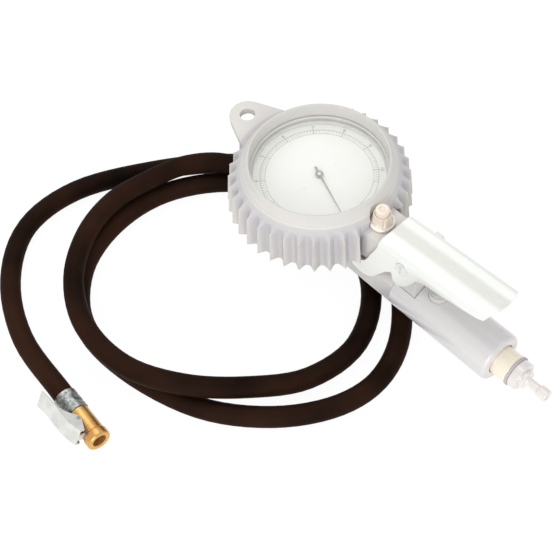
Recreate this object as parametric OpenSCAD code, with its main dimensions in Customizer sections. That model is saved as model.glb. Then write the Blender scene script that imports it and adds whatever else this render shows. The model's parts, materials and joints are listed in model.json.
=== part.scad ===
/* [Gauge] */
// Outside radius of the gauge case
case_r = 41; // [38:0.5:50]
// Depth of the gauge case from its back to its front rim
case_depth = 20; // [19:0.5:24]
// Wall thickness of the gauge case
case_wall = 1.2; // [0.8:0.1:2]
// Width of dial that the bezel ring covers at its edge
bezel_cover = 4; // [3:0.25:6]
// Thickness of the gauge window
window_t = 2; // [1:0.25:3]
// Length of the needle from its arbor to its tip
needle_len = 29; // [20:1:31]

/* [Rubber boot] */
// Thickness of the boot's wall between its ribs
boot_wall = 6.6; // [5.6:0.2:8]
// Number of ribs that a full turn would hold
rib_count = 38; // [24:1:44]
// Height of a rib above the valleys
rib_h = 4.4; // [2:0.2:5]
// Thickness of the boot's back under the case
boot_back = 2; // [1.5:0.25:4]
// Height of the lip's crest above the bezel ring
lip_h = 9; // [6:0.5:12]
// Radius of the hang hole in the lug
lug_hole_r = 4.5; // [3:0.25:6]
// Distance of the hang hole from the gauge's axis
lug_reach = 59; // [56:1:75]
// Thickness of the lug
lug_t = 4.5; // [3:0.25:8]

/* [Valve body and grip] */
// Distance from the gauge's axis to the origin on the plug's nose
gauge_reach = 166; // [160:1:190]
// Outside radius of the grip
grip_r = 14.3; // [13:0.1:16]
// Wall thickness of the grip
grip_wall = 2.4; // [1.8:0.1:3]
// Length of the grip
grip_len = 69; // [64:1:80]
// Radius of the air duct along the body
duct_r = 3.5; // [2:0.25:4.5]
// Width of the flat-sided head between the lever's cheeks
head_w = 23.8; // [22:0.2:24]

/* [Lever] */
// Outside width of the lever
lever_w = 27.4; // [27:0.2:32]
// Thickness of the lever's sheet
lever_t = 1.3; // [1:0.1:1.8]
// Radius of the pivot screw's shank
pivot_r = 2.5; // [2:0.25:3]
// Radius of the valve pin
valve_pin_r = 2; // [1.5:0.25:3]

/* [Deflate valve] */
// Radius of the deflate valve's flange
flange_r = 7.2; // [6.5:0.1:8]
// Radius of the deflate button
button_r = 4; // [3:0.1:4.2]

/* [Inlet] */
// Radius of the brass inlet adapter
adapter_r = 8.5; // [7.5:0.1:9.5]
// Radius of the plug's nose
nose_r = 3.5; // [3:0.1:4.5]
// Length of the plug's thick nose
nose_len = 5.6; // [4:0.2:8]

/* [Hose and tyre connector] */
// Outside radius of the hose
hose_r = 6; // [5:0.25:6]
// Radius of the outlet ferrule
outlet_r = 8; // [7.5:0.1:9]
// Radius of the crimped ferrule at the tyre connector
ferrule_r = 6.8; // [6.5:0.1:7.2]
// Length of the brass tyre connector ahead of its ferrule
chuck_len = 21.5; // [20:0.5:26]
// Radius of the tyre connector's mouth
mouth_r = 3.9; // [3:0.1:4.5]
// Thickness of the clip's folded sheet
clip_t = 0.8; // [0.6:0.1:1]

/* [Hidden] */
$fn = 96;

// Cuts run this far past the faces that they leave
past = 1;
// Free gap between pieces that only lie beside each other
gap = 0.3;
// Radial clearance of a turning or sliding fit
run = 0.05;

// Places along the grip's axis, measured from the gauge's axis
gx = -gauge_reach;
head_x0 = 26;
grip_x0 = 68;
grip_x1 = grip_x0 + grip_len;
core_r = grip_r - grip_wall;
pivot_x = 76;
pivot_z = 34.5;
pivot_head_r = 4;
valve_x = 92;
button_x = 48.5;

// Heights of the gauge, measured from the grip's axis
boot_z0 = 15;
case_z0 = boot_z0 + boot_back;
case_z1 = case_z0 + case_depth;
dial_t = 0.6;
dial_z = case_z1 - 3.4;
dial_r = case_r - case_wall - gap;
bezel_z1 = case_z1 + 3.2;
sight_r = case_r - bezel_cover;
stem_z = case_z0 + 8;
stem_r = 5;

// Boot
boot_bore_r = case_r + gap;
bezel_r = case_r - 0.2;
valley_r = boot_bore_r + boot_wall;
crest_z = bezel_z1 + lip_h;
crest_r = sight_r + 1.3;
lip_r = boot_bore_r + 1.7;
lip_z = crest_z - 5.3;
rib_top = lip_z - 1.9;
rib_end_z = lip_z - 7;
rib_taper = 0.955;
lug_z1 = lip_z - 6;
lug_r = lug_hole_r + 6;
neck_w = head_w - 0.6;
neck_x1 = 58;
neck_z1 = boot_z0 + 21.3;

// Pillar of the valve body that carries the gauge and the deflate valve
pillar_x0 = boot_bore_r + 1;
pillar_x1 = 56;
pillar_w = 15;
pillar_z1 = neck_z1 - 3;
post_w = 19;
post_x0 = 69;
post_x1 = 83;
post_z1 = 39.4;

// Movement of the gauge
tooth_module = 0.3;
pinion_teeth = 12;
sector_teeth = 120;
pinion_pitch_r = tooth_module * pinion_teeth / 2;
sector_pitch_r = tooth_module * sector_teeth / 2;
sector_y = pinion_pitch_r + sector_pitch_r;
gear_z = stem_z;
plate_t = 1;
plate_z0 = case_z0 + case_wall + 1.6;
plate_z1 = dial_z - 3.2;
arbor_r = 0.8;
tube_r = 33;
tube_from = 14;
tube_to = 262;
needle_angle = -20.3;
needle_z = dial_z + dial_t + 1;

// Lever's sheet: the crest line rises towards the free end
web_x0 = 58;
web_x1 = 133;
web_z0 = 41;
web_z1 = 47.2;
web_slope = atan((web_z1 - web_z0) / (web_x1 - web_x0));
cheek_y = lever_w / 2;
shoulder_r = 5;
// Outline of a cheek as seen from the side, with generous height above the crest
cheek_outline = [[39, 3.5], [41, 8.5], [49, 15], [55, 29], [web_x0, 36.5], [web_x0, 60], [140, 60],
                 [140, 46.5], [128, 43.6], [116, 41.2], [103, 38.6], [92, 36.6], [86.3, 34],
                 [82.4, 26.5], [77.7, 20], [73.4, 17], [70, 18.5], [69, 24], [64.4, 20.5],
                 [59.3, 12.6], [53.4, 4.2], [47.2, 1.8]];

// Valve under the lever
bush_r = 6;
bush_z1 = 17;
pin_top = web_z0 + (valve_x - web_x0) * tan(web_slope) - lever_t / cos(web_slope) - gap;
chamber_r = 5;

// Inlet, measured from the gauge's axis
adapter_x0 = grip_x1 - 12;
adapter_x1 = grip_x1 + 9.5;
washer_x1 = adapter_x1 + 1.4;
collar_x1 = washer_x1 + 5;
step_x1 = collar_x1 + 2.5;
rod_x1 = gauge_reach - nose_len / 2;

// Hose: route of its middle line, laid in two loose loops under the tool
floor_z = -26.6;
lay_z = floor_z + 6;
over_z = -8.4;
ROUTE = [[12, 0, -3], [-12, -1, -3.5], [-36, -2, -6], [-57, -4, -8], [-76, -13, over_z],
         [-89, -30, over_z], [-95, -51, over_z], [-98, -76, over_z], [-90, -103, over_z],
         [-70, -128, over_z], [-40, -143, over_z], [-5, -143, over_z], [26, -128, over_z], [49, -103, -13.5],
         [66, -73, -19], [68, -38, lay_z], [47, -6, lay_z], [8, 12, lay_z], [-34, 9, lay_z],
         [-68, -13, lay_z], [-89, -46, lay_z], [-92, -82, lay_z], [-79, -116, lay_z],
         [-49, -139, lay_z], [-9, -141, lay_z], [36, -128, lay_z], [69, -103, lay_z],
         [89, -72, lay_z], [92, -42, lay_z], [77, -12, lay_z], [43, 16, lay_z], [-1, 28, lay_z],
         [-45, 22, lay_z], [-81, -5, lay_z], [-109, -42, lay_z], [-129, -83, lay_z],
         [-128, -121, lay_z], [-104, -151, lay_z], [-66, -170, lay_z], [-19, -176, -19.3]];
hose_sides = 12;
rings_per_point = 2;
outlet_z = ROUTE[0][2];
outlet_x0 = ROUTE[0][0];

// Tyre connector: its axis starts where the hose ends
chuck_at = ROUTE[len(ROUTE) - 1];
chuck_angle = -5;
chuck_ferrule_len = 13.5;
chuck_r = 6.9;
chuck_x1 = chuck_ferrule_len + chuck_len;
clip_x = 20;
clip_y = -5.6;
clip_pin_r = 1;
clip_half = 5.7;
clip_roll = -28;
seal_x0 = chuck_ferrule_len + 8;
seal_len = 3;
seal_r = mouth_r + 0.5;
jaw_half = 2;

// Colours of the materials
rubber_pale = [0.83, 0.82, 0.81];
gloss_pale = [0.82, 0.81, 0.81];
silver = [0.96, 0.97, 0.95];
brass_pale = [0.92, 0.86, 0.78];
brass = [0.84, 0.66, 0.37];
dark = [0.2, 0.15, 0.12];
zinc = [0.55, 0.54, 0.52];

// ---- shapes used by more than one piece ----

// A cylinder along +X from x0 to x1
module rod_x(r, x0, x1) {
    translate([x0, 0, 0]) rotate([0, 90, 0]) cylinder(r = r, h = x1 - x0);
}

// A tube along +Z
module tube(r_out, r_in, z0, z1) {
    difference() {
        translate([0, 0, z0]) cylinder(r = r_out, h = z1 - z0);
        translate([0, 0, z0 - past]) cylinder(r = r_in, h = z1 - z0 + 2 * past);
    }
}

// A box given by two corners
module box(lo, hi) {
    translate(lo) cube(hi - lo);
}

// A helical spring of round wire along +Z
module coils(r, wire_r, z0, z1, turns) {
    n = 14;
    rise = (z1 - z0 - 2 * wire_r) / (turns * n);
    line = [for (i = [0 : turns * n]) let (a = 360 * i / n) [r * cos(a), r * sin(a), z0 + wire_r + i * rise]];
    polyhedron(swept_points(line, wire_r, 6, [0, 1, 0], [0, 1, 0]), swept_faces(len(line), 6));
}

// Places a piece on the gauge's axis, or on the grip's axis beneath it
module at_gauge() {
    translate([gx, 0, 0]) children();
}

// Places a piece on the tyre connector's axis
module at_chuck() {
    translate([gx, 0, 0] + chuck_at) rotate([0, 0, chuck_angle]) children();
}

// Places a piece on the connector's axis, rolled round it to where the clip sits
module at_clip() {
    at_chuck() rotate([clip_roll, 0, 0]) children();
}

// Points of an arc
function arc(c, r, a0, a1, n) =
    [for (i = [0 : n]) let (a = a0 + (a1 - a0) * i / n) c + r * [cos(a), sin(a)]];

// Outline of a toothed wheel between two angles, with straight-sided teeth
function teeth(pitch_r, pitch_angle, from, count, add, ded, tip, root) =
    [for (i = [0 : count - 1]) let (a = from + i * pitch_angle)
        each [(pitch_r - ded) * [cos(a - root), sin(a - root)],
              (pitch_r + add) * [cos(a - tip), sin(a - tip)],
              (pitch_r + add) * [cos(a + tip), sin(a + tip)],
              (pitch_r - ded) * [cos(a + root), sin(a + root)]]];

// ---- hose sweep ----

// A smooth point between route points b and c, at share t of the way
function smooth(a, b, c, d, t) =
    0.5 * (2 * b + (c - a) * t + (2 * a - 5 * b + 4 * c - d) * t * t
           + (3 * b - a - 3 * c + d) * t * t * t);

// The middle line: every route point, with smooth points between them
function middle_line(p, n) =
    let (last = len(p) - 1)
    [for (i = [0 : last - 1], k = [0 : n - 1])
        smooth(i == 0 ? 2 * p[0] - p[1] : p[i - 1], p[i], p[i + 1],
               i == last - 1 ? 2 * p[last] - p[last - 1] : p[i + 2], k / n),
     p[last]];

function unit(v) = v / norm(v);

// A ring of points round the middle line, square to its run
function ring(p, along, r, sides) =
    let (side = unit(cross([0, 0, 1], along)), up = cross(along, side))
    [for (s = [0 : sides - 1]) let (a = 360 * (s + 0.5) / sides)
        p + r * (cos(a) * side + sin(a) * up)];

// All rings along a line that leaves one way and arrives another way
function swept_points(line, r, sides, leaves, arrives) =
    let (last = len(line) - 1)
    [for (i = [0 : last])
        let (along = i == 0 ? leaves : i == last ? arrives : unit(line[i + 1] - line[i - 1]))
        each ring(line[i], along, r, sides)];

function swept_faces(rings, sides) =
    [[for (s = [sides - 1 : -1 : 0]) s],
     for (i = [0 : rings - 2], s = [0 : sides - 1])
        let (a = i * sides + s, b = i * sides + (s + 1) % sides)
        each [[a, b, b + sides], [a, b + sides, a + sides]],
     [for (s = [0 : sides - 1]) (rings - 1) * sides + s]];

module hose() {
    line = middle_line(ROUTE, rings_per_point);
    arrives = [cos(chuck_angle), sin(chuck_angle), 0];
    color(dark) at_gauge()
        polyhedron(swept_points(line, hose_r, hose_sides, [-1, 0, 0], arrives),
                   swept_faces(len(line), hose_sides));
}

// ---- gauge ----

// Wall of the boot with its ribs, tapering towards the lip
module ribbed_wall() {
    pitch = 360 / rib_count;
    outline = [for (i = [0 : rib_count - 1]) let (a = i * pitch)
        each [valley_r * [cos(a - 0.32 * pitch), sin(a - 0.32 * pitch)],
              (valley_r + rib_h) * [cos(a), sin(a)],
              valley_r * [cos(a + 0.32 * pitch), sin(a + 0.32 * pitch)]]];
    tip_r = (valley_r + rib_h) * rib_taper;
    difference() {
        translate([0, 0, boot_z0])
            linear_extrude(rib_top - boot_z0, scale = rib_taper) polygon(outline);
        // The ribs' tops slope down and outwards
        rotate_extrude() polygon([[lip_r + 1, rib_top], [tip_r, rib_end_z], [tip_r + 5, rib_end_z],
                                  [tip_r + 5, rib_top + past], [lip_r + 1, rib_top + past]]);
    }
}

// Lug with its hang hole, on the side away from the grip
module lug() {
    translate([0, 0, lug_z1 - lug_t]) linear_extrude(lug_t)
        polygon(concat([[-valley_r + 3, -17.5]],
                       [for (p = arc([-lug_reach, 0], lug_r, 250, 110, 24)) p],
                       [[-valley_r + 3, 17.5], [-boot_bore_r - 0.5, 0]]));
}

module boot() {
    top_valley_r = valley_r * rib_taper;
    color(rubber_pale) at_gauge() difference() {
        union() {
            ribbed_wall();
            lug();
            rotate_extrude() polygon([[crest_r, bezel_z1 + 0.2], [lip_r, bezel_z1 - 6],
                [top_valley_r, rib_top - 6], [top_valley_r, rib_top - 2.4],
                [lip_r + 0.8, rib_top], [lip_r, lip_z], [crest_r + 2.2, crest_z - 1.3],
                [crest_r + 0.9, crest_z - 0.1], [crest_r + 0.3, crest_z - 0.2], [crest_r, crest_z - 0.8]]);
            box([boot_bore_r - 3, -neck_w / 2, boot_z0], [neck_x1, neck_w / 2, neck_z1]);
        }
        translate([0, 0, case_z0 - gap]) cylinder(r = boot_bore_r, h = bezel_z1 + 0.2 - case_z0 + gap);
        translate([0, 0, boot_z0 - past]) cylinder(r = case_r - 12, h = boot_back + 2 * past);
        translate([-lug_reach, 0, lug_z1 - lug_t - past]) cylinder(r = lug_hole_r, h = lug_t + 2 * past);
        // Room for the pillar, the stem washer and the deflate valve's shank
        box([boot_bore_r - past, -pillar_w / 2 - gap, boot_z0 - past],
            [pillar_x1 + gap, pillar_w / 2 + gap, pillar_z1 + gap]);
        translate([button_x, 0, pillar_z1]) cylinder(r = stem_r, h = 10);
        translate([button_x, 0, neck_z1]) cylinder(r = flange_r + gap, h = 3);
        translate([button_x, 0, neck_z1]) cylinder(r = flange_r - 0.4, h = 20);
        // Pockets that the lever's legs swing in
        for (s = [-1, 1]) translate([0, s * (cheek_y - lever_t / 2), 0])
            box([boot_bore_r - 1, -lever_t / 2 - 0.8, boot_z0 - past], [60, lever_t / 2 + 2, 33]);
    }
}

module gauge_case() {
    color(silver) at_gauge() difference() {
        translate([0, 0, case_z0]) cylinder(r = case_r, h = case_depth);
        translate([0, 0, case_z0 + case_wall]) cylinder(r = case_r - case_wall, h = case_depth);
        translate([0, 0, stem_z]) rod_x(stem_r + 0.2, case_r - 5, case_r + 5);
    }
}

module bezel_ring() {
    color(gloss_pale) at_gauge() difference() {
        translate([0, 0, case_z1]) cylinder(r = bezel_r, h = bezel_z1 - case_z1);
        translate([0, 0, case_z1 - past]) cylinder(r = sight_r + 1.6, h = window_t + gap + past);
        translate([0, 0, case_z1 + window_t - past])
            cylinder(r1 = sight_r + 0.2, r2 = sight_r + 0.9, h = bezel_z1 - case_z1 - window_t + 2 * past);
    }
}

module window() {
    color([0.9, 0.95, 0.96, 0.35]) at_gauge()
        translate([0, 0, case_z1 + 0.2]) cylinder(r = sight_r + 1.5, h = window_t);
}

module window_gasket() {
    color(dark) at_gauge() tube(case_r - case_wall - 0.1, sight_r, dial_z + dial_t + 0.2, case_z1);
}

module dial_plate() {
    color([0.98, 0.98, 0.96]) at_gauge() difference() {
        translate([0, 0, dial_z]) cylinder(r = dial_r, h = dial_t);
        translate([0, 0, dial_z - past]) cylinder(r = 1.6, h = dial_t + 2 * past);
        for (s = [-1, 1]) translate([0, s * 12, dial_z - past]) cylinder(r = 0.9, h = dial_t + 2 * past);
    }
}

module dial_screws() {
    color(zinc) at_gauge() for (s = [-1, 1]) translate([0, s * 12, 0]) {
        translate([0, 0, plate_z1 + plate_t]) cylinder(r = 0.8, h = dial_z + dial_t - plate_z1 - plate_t);
        translate([0, 0, dial_z + dial_t]) cylinder(r = 1.4, h = 0.4);
    }
}

module needle() {
    tail = 5;
    color(dark) at_gauge() rotate([0, 0, needle_angle]) difference() {
        translate([0, 0, needle_z]) linear_extrude(0.5) union() {
            polygon([[-tail, -0.7], [needle_len, -0.25], [needle_len, 0.25], [-tail, 0.7]]);
            circle(r = 2.2);
        }
        translate([0, 0, needle_z - past]) cylinder(r = arbor_r, h = 0.5 + 2 * past);
    }
}

module pinion_arbor() {
    half = 90 / pinion_teeth;
    color(brass) at_gauge() {
        translate([0, 0, plate_z0 + 0.2]) cylinder(r = arbor_r, h = needle_z + 0.5 - plate_z0 - 0.2);
        translate([0, 0, gear_z - 1]) rotate([0, 0, 2 * half]) linear_extrude(2.4)
            polygon(teeth(pinion_pitch_r, 360 / pinion_teeth, 0, pinion_teeth,
                          tooth_module * 0.75, tooth_module * 1.15, 2.6, 6.6));
    }
}

// Flat spiral round the arbor, held at its outer end by a stud on the lower plate
module hairspring() {
    z0 = plate_z0 + plate_t + 0.8;
    r0 = arbor_r + gap;
    grow = 0.9;
    turns = 4;
    n = 36;
    inner = [for (i = [0 : turns * n]) let (a = 360 * i / n) (r0 + grow * i / n) * [cos(a), sin(a)]];
    outer = [for (i = [turns * n : -1 : 0]) let (a = 360 * i / n)
        (r0 + 0.22 + grow * i / n) * [cos(a), sin(a)]];
    color(zinc) at_gauge() {
        translate([0, 0, z0]) linear_extrude(0.8) polygon(concat(inner, outer));
        translate([r0 + grow * turns + 0.6, 0, plate_z0 + plate_t]) cylinder(r = 0.6, h = 1.6);
    }
}

module sector_gear() {
    span = 20;
    pitch_angle = 360 / sector_teeth;
    rim = concat(teeth(sector_pitch_r, pitch_angle, 90 - span, floor(2 * span / pitch_angle) + 1,
                       tooth_module * 0.75, tooth_module * 1.15, 0.3, 0.66),
                 [(sector_pitch_r - 2.4) * [cos(90 + span + 1), sin(90 + span + 1)]],
                 arc([0, 0], sector_pitch_r - 2.4, 90 + span, 90 - span, 16));
    color(brass) at_gauge() translate([0, -sector_y, 0]) rotate([0, 0, -13]) {
        translate([0, 0, gear_z - 0.5]) linear_extrude(1.2) difference() {
            union() {
                polygon(rim);
                polygon([[-2, 0], [-3.4, sector_pitch_r - 2], [3.4, sector_pitch_r - 2], [2, 0]]);
                polygon([[-1.4, 0], [-0.8, -9], [0.8, -9], [1.4, 0]]);
                circle(r = 3);
            }
            circle(r = 0.8);
        }
        translate([0, 0, plate_z0 + plate_t + gap])
            cylinder(r = 0.8, h = plate_z1 - plate_z0 - plate_t - 2 * gap);
    }
}

// Outline that both movement plates share
module plate_outline() {
    difference() {
        hull() {
            translate([0, 10]) circle(r = 9, $fn = 32);
            translate([0, -sector_y]) circle(r = 5, $fn = 32);
            translate([22, 0]) circle(r = 4, $fn = 32);
        }
        circle(r = arbor_r + run);
    }
}

module movement_plates() {
    color(brass) at_gauge() {
        translate([0, 0, plate_z0]) linear_extrude(plate_t) plate_outline();
        translate([0, 0, plate_z1]) linear_extrude(plate_t) plate_outline();
    }
}

module movement_pillars() {
    color(brass) at_gauge() for (p = [[-6, 12], [6, 12]])
        translate([p[0], p[1], plate_z0 + plate_t]) cylinder(r = 1.2, h = plate_z1 - plate_z0 - plate_t);
}

module bourdon_tube() {
    color(brass) at_gauge() translate([0, 0, stem_z]) rotate([0, 0, tube_from])
        rotate_extrude(angle = tube_to - tube_from) difference() {
            translate([tube_r - 2, -4]) square([4, 8]);
            translate([tube_r - 1.4, -3.4]) square([2.8, 6.8]);
        }
}

// Closed end of the bourdon tube, with the eye that the sector's link hooks to
module tube_tip() {
    color(brass) at_gauge() rotate([0, 0, tube_to]) {
        box([tube_r - 2.6, 0, stem_z - 4], [tube_r + 2.6, 4, stem_z + 4]);
        box([tube_r - 7, 0.5, stem_z - 4], [tube_r - 2.6, 3.5, stem_z - 2.5]);
    }
}

module gauge_socket() {
    color(brass) at_gauge() difference() {
        union() {
            box([24, -7, plate_z0 + plate_t], [case_r - case_wall - 1.6, 7, plate_z1]);
            rotate([0, 0, tube_from - 5]) box([tube_r - 2.6, 0, stem_z - 5], [tube_r + 2.6, 6, stem_z + 5]);
            translate([0, 0, stem_z]) rod_x(stem_r, 36, pillar_x0 + 6);
        }
        translate([0, 0, stem_z]) rod_x(2, 30, pillar_x0 + 7);
        rotate([0, 0, tube_from]) box([tube_r - 2, 0, stem_z - 4], [tube_r + 2, 8, stem_z + 4]);
    }
}

module stem_washer() {
    color(dark) at_gauge() difference() {
        translate([0, 0, stem_z]) rod_x(stem_r + 1.6, case_r + 0.1, pillar_x0);
        translate([0, 0, stem_z]) rod_x(stem_r + 0.02, case_r - past, pillar_x0 + past);
    }
}

// ---- valve body and grip ----

module valve_body() {
    color(gloss_pale) at_gauge() difference() {
        union() {
            intersection() {
                rod_x(grip_r - 0.2, head_x0, grip_x0);
                box([head_x0, -head_w / 2, -20], [grip_x0, head_w / 2, 20]);
            }
            rod_x(core_r, grip_x0 - past, grip_x1 - 4);
            box([pillar_x0, -pillar_w / 2, 5], [pillar_x1, pillar_w / 2, pillar_z1]);
            box([post_x0, -post_w / 2, 3], [post_x1, post_w / 2, post_z1]);
        }
        rod_x(duct_r, head_x0 + 10, grip_x1);
        translate([0, 0, outlet_z]) rod_x(3, head_x0 - past, head_x0 + 12);
        rod_x(6.5, adapter_x0, grip_x1);
        translate([0, 0, stem_z]) rod_x(stem_r + run, pillar_x0 - past, pillar_x0 + 6 + gap);
        translate([button_x, 0, pillar_z1 - 2.5]) cylinder(r = stem_r - 0.4 + run, h = 10);
        translate([pivot_x, post_w / 2 + past, pivot_z]) rotate([90, 0, 0])
            cylinder(r = pivot_r + 0.02, h = post_w + 2 * past);
        translate([valve_x, 0, -core_r]) cylinder(r = chamber_r, h = core_r + 5);
        translate([valve_x, 0, 0]) cylinder(r = bush_r - 1, h = core_r + past);
    }
}

module grip() {
    color(gloss_pale) at_gauge() difference() {
        union() {
            rod_x(grip_r, grip_x0, grip_x1 - 1.5);
            translate([grip_x1 - 1.5, 0, 0]) rotate([0, 90, 0]) cylinder(r1 = grip_r, r2 = grip_r - 1, h = 1.5);
        }
        rod_x(core_r + run, grip_x0 - past, grip_x1 - 4 + run);
        rod_x(adapter_r + gap, grip_x1 - 5, grip_x1 + past);
        box([post_x0 - gap, -post_w / 2 - gap, 0], [post_x1 + gap, post_w / 2 + gap, 20]);
        translate([valve_x, 0, 0]) cylinder(r = bush_r + 0.1, h = 20);
        translate([valve_x, 0, -20]) cylinder(r = chamber_r + gap, h = 20);
    }
}

// Section of the lever's sheet: a channel with round shoulders, open below
module channel(half_w, r, drop) {
    polygon(concat([[-half_w, -drop]], arc([-half_w + r, -r], r, 180, 90, 8),
                   arc([half_w - r, -r], r, 90, 0, 8), [[half_w, -drop]]));
}

module lever() {
    color(silver) at_gauge() difference() {
        intersection() {
            translate([web_x0, 0, web_z0]) rotate([0, -web_slope, 0]) translate([-30, 0, 0])
                rotate([90, 0, 90]) linear_extrude(140) difference() {
                    channel(cheek_y, shoulder_r, 60);
                    translate([0, -lever_t]) channel(cheek_y - lever_t, shoulder_r - lever_t, 60);
                }
            translate([0, lever_w, 0]) rotate([90, 0, 0]) linear_extrude(2 * lever_w)
                polygon(cheek_outline);
            linear_extrude(80) polygon([[30, -20], [web_x1 - 9, -20], [web_x1 - 2.5, -cheek_y + 1],
                [web_x1 + 0.5, -4], [web_x1 + 1, 2], [web_x1 + 0.5, cheek_y - 5],
                [web_x1 - 2.5, cheek_y + 1], [web_x1 - 5, 20], [30, 20]]);
        }
        translate([pivot_x, lever_w, pivot_z]) rotate([90, 0, 0])
            cylinder(r = pivot_r + run, h = 2 * lever_w);
        translate([button_x, 0, neck_z1]) cylinder(r = flange_r + 4.5, h = 20);
    }
}

module pivot_screw() {
    head_y = cheek_y + 0.1;
    color(silver) at_gauge() translate([pivot_x, 0, pivot_z]) rotate([90, 0, 0]) difference() {
        union() {
            translate([0, 0, head_y]) cylinder(r = pivot_head_r, h = 1);
            translate([0, 0, -cheek_y - 1.5]) cylinder(r = pivot_r, h = lever_w + 2);
        }
        box([-0.5, -pivot_head_r - 1, head_y + 0.5], [0.5, pivot_head_r + 1, head_y + 2]);
    }
}

module pivot_nut() {
    color(silver) at_gauge() translate([pivot_x, cheek_y + 0.1, pivot_z]) rotate([-90, 0, 0]) difference() {
        cylinder(r = pivot_head_r, h = 2, $fn = 6);
        translate([0, 0, -past]) cylinder(r = pivot_r + 0.01, h = 2 + 2 * past);
    }
}

module valve_bush() {
    color(brass_pale) at_gauge() translate([valve_x, 0, 0]) difference() {
        union() {
            translate([0, 0, core_r]) cylinder(r = bush_r, h = bush_z1 - core_r);
            translate([0, 0, 6]) cylinder(r = bush_r - 1.02, h = core_r);
        }
        translate([0, 0, 5]) cylinder(r = valve_pin_r + run, h = bush_z1);
    }
}

module valve_pin() {
    color(silver) at_gauge() translate([valve_x, 0, 0]) {
        translate([0, 0, 1]) cylinder(r = valve_pin_r, h = pin_top - 1 - valve_pin_r);
        translate([0, 0, pin_top - valve_pin_r]) intersection() {
            sphere(r = valve_pin_r);
            cylinder(r = valve_pin_r + past, h = 2 * valve_pin_r);
        }
        translate([0, 0, -0.6]) cylinder(r = chamber_r - 1.2, h = 1.6);
    }
}

module valve_spring() {
    color(zinc) at_gauge() translate([valve_x, 0, 0])
        coils(chamber_r - 1.6, 0.35, -grip_r + 5, -0.8, 5);
}

module valve_plug() {
    color(brass_pale) at_gauge() translate([valve_x, 0, 0]) difference() {
        translate([0, 0, -grip_r + 0.6]) cylinder(r = chamber_r - 0.02, h = 4);
        translate([0, 0, -grip_r]) linear_extrude(1.6) square([1, 6], center = true);
    }
}

// ---- deflate valve ----

module deflate_bush() {
    z = neck_z1 + 0.3;
    grooves = 10;
    color(brass_pale) at_gauge() translate([button_x, 0, 0]) difference() {
        union() {
            translate([0, 0, pillar_z1 - 2.4]) cylinder(r = stem_r - 0.4, h = z - pillar_z1 + 2.4);
            translate([0, 0, z]) cylinder(r = flange_r, h = 1.6);
            translate([0, 0, z + 1.6]) cylinder(r1 = flange_r - 0.9, r2 = button_r + 1, h = 6.8);
        }
        for (i = [0 : grooves - 1]) rotate([0, 0, 360 * i / grooves])
            translate([flange_r + 0.4, 0, z + 2.6]) cylinder(r = 1.5, h = 8, $fn = 24);
        translate([0, 0, z + 1]) cylinder(r = button_r + run, h = 10);
        translate([0, 0, pillar_z1 - 4]) cylinder(r = 1.5 + run, h = 12);
    }
}

module deflate_button() {
    z = neck_z1 + 0.3;
    color(brass_pale) at_gauge() translate([button_x, 0, 0]) difference() {
        union() {
            translate([0, 0, z + 6]) cylinder(r = button_r, h = 5.4);
            translate([0, 0, z + 11.4]) cylinder(r1 = button_r, r2 = button_r - 0.6, h = 0.6);
            translate([0, 0, pillar_z1]) cylinder(r = 1.5, h = z + 6 - pillar_z1);
        }
        translate([0, 0, z + 11.2]) cylinder(r = 1.8, h = 2);
    }
}

module deflate_spring() {
    z = neck_z1 + 0.3;
    color(zinc) at_gauge() translate([button_x, 0, 0]) coils(2.7, 0.3, z + 1.05, z + 5.9, 5);
}

// ---- inlet ----

module inlet_adapter() {
    color(brass_pale) at_gauge() difference() {
        union() {
            rod_x(6.48, adapter_x0 + 0.2, grip_x1);
            rod_x(adapter_r, grip_x1 - 4 + 0.05, adapter_x1 - 0.6);
            translate([adapter_x1 - 0.6, 0, 0]) rotate([0, 90, 0])
                cylinder(r1 = adapter_r, r2 = adapter_r - 0.6, h = 0.6);
        }
        rod_x(4, adapter_x0, adapter_x1 + past);
    }
}

module inlet_washer() {
    color(dark) at_gauge() difference() {
        rod_x(adapter_r + 0.4, adapter_x1, washer_x1);
        rod_x(4.02, adapter_x1 - past, washer_x1 + past);
    }
}

module inlet_plug() {
    nose_x0 = gauge_reach - nose_len / 2;
    color(silver) at_gauge() difference() {
        union() {
            rod_x(3.98, adapter_x1 - 6, washer_x1);
            rod_x(adapter_r - 0.3, washer_x1, collar_x1);
            rod_x(adapter_r - 3, collar_x1, step_x1);
            rod_x(nose_r - 1, step_x1, nose_x0);
            rod_x(nose_r, nose_x0, nose_x0 + nose_len);
        }
        rod_x(1.4, adapter_x1 - 7, nose_x0 + nose_len + past);
        translate([nose_x0 + nose_len - 0.8, 0, 0]) rotate([0, 90, 0]) cylinder(r1 = 1.4, r2 = 2.4, h = 0.9);
    }
}

// ---- outlet and tyre connector ----

module outlet_nipple() {
    color(brass) at_gauge() translate([0, 0, outlet_z]) difference() {
        union() {
            rod_x(3, head_x0, head_x0 + 8);
            rod_x(2.6, outlet_x0 + 1, head_x0);
        }
        rod_x(1.5, outlet_x0, head_x0 + 9);
    }
}

module outlet_ferrule() {
    color(zinc) at_gauge() translate([0, 0, outlet_z]) difference() {
        rod_x(outlet_r, outlet_x0, head_x0);
        rod_x(2.62, outlet_x0 + 1, head_x0 + past);
        for (x = [outlet_x0 + 4, outlet_x0 + 9]) difference() {
            rod_x(outlet_r + 1, x, x + 1.5);
            rod_x(outlet_r - 0.5, x - past, x + 1.5 + past);
        }
    }
}

module chuck_ferrule() {
    color(zinc) at_chuck() difference() {
        rod_x(ferrule_r, 0, chuck_ferrule_len);
        rod_x(2.6, 2, chuck_ferrule_len + past);
        for (x = [4, 9]) difference() {
            rod_x(ferrule_r + 1, x, x + 1.2);
            rod_x(ferrule_r - 0.3, x - past, x + 1.2 + past);
        }
    }
}

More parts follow.
